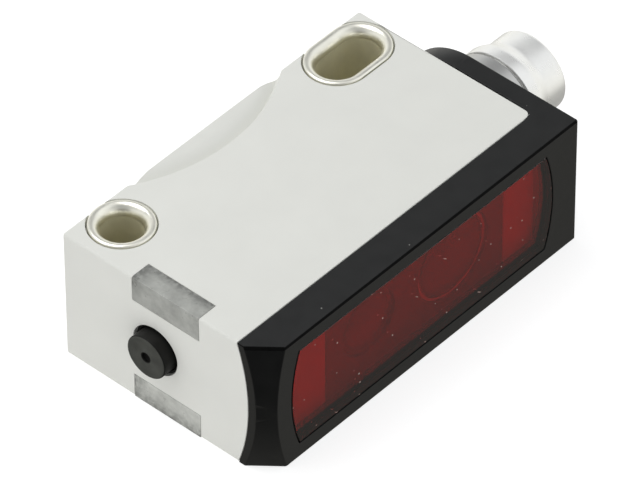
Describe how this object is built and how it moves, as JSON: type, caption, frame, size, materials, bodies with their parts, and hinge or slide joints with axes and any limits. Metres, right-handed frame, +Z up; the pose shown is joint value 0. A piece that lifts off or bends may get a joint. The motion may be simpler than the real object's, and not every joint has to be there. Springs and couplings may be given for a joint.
{
  "type": "miniature photoelectric sensor",
  "caption": "Box-shaped photoelectric sensor with a red front window, a teach button, light guides, two M3 mounting sleeves and an M8 plug.",
  "frame": {"origin": "centre of the lower wide face of the 34 by 20 mm housing, without the plug", "axes": "+X points to the M8 plug, the window looks along -Y, +Z is up through the wide side"},
  "size_m": [0.0421, 0.02, 0.012],
  "materials": {
    "pale_shell": "moulded satin light grey",
    "black_shell": "moulded satin black",
    "red_window": "polished red acrylic",
    "nickel": "nickel-plated brass",
    "black_rubber": "matt black elastomer",
    "tin_plate": "tinned steel sheet",
    "black_plastic": "moulded matt black",
    "frosted_guide": "frosted clear polycarbonate",
    "natural_plastic": "moulded natural",
    "clear_lens": "polished clear acrylic",
    "circuit_board": "green solder resist",
    "chip_case": "moulded epoxy",
    "capacitor_case": "moulded epoxy, ochre",
    "green_led_resin": "tinted resin",
    "yellow_led_resin": "tinted resin",
    "red_led_resin": "tinted resin",
    "gold_contact": "gold-plated brass"
  },
  "bodies": {
    "housing": {"housing_body": "pale_shell", "front_cover": "black_shell", "window_pane": "red_window", "round_sleeve": "nickel", "slotted_sleeve": "nickel", "button_seal": "black_rubber", "tact_switch": "tin_plate", "upper_light_guide": "frosted_guide", "lower_light_guide": "frosted_guide", "optics_frame": "natural_plastic", "optics_carrier": "black_plastic", "emitter_lens": "clear_lens", "receiver_lens": "clear_lens", "optics_board": "circuit_board", "emitter_led": "red_led_resin", "receiver_diode": "chip_case", "main_board": "circuit_board", "shield_can": "tin_plate", "signal_processor": "chip_case", "voltage_regulator": "chip_case", "output_transistor_1": "chip_case", "output_transistor_2": "chip_case", "storage_capacitor": "capacitor_case", "surge_suppressor": "chip_case", "plug_shell": "nickel", "plug_insulator": "black_plastic", "plug_seal": "black_rubber", "contact_pin_1": "gold_contact", "contact_pin_2": "gold_contact", "contact_pin_3": "gold_contact", "contact_pin_4": "gold_contact", "status_led_green_upper": "green_led_resin", "status_led_yellow_upper": "yellow_led_resin", "status_led_green_lower": "green_led_resin", "status_led_yellow_lower": "yellow_led_resin"},
    "button": {"teach_button": "black_rubber", "switch_plunger": "black_plastic"}
  },
  "joints": [
    {"name": "button_press", "type": "slide", "parent": "housing", "child": "button", "axis": [1, 0, 0], "range_m": [0, 0.00035], "stiffness_N_per_m": 2000, "springref_m": -0.0002}
  ]
}
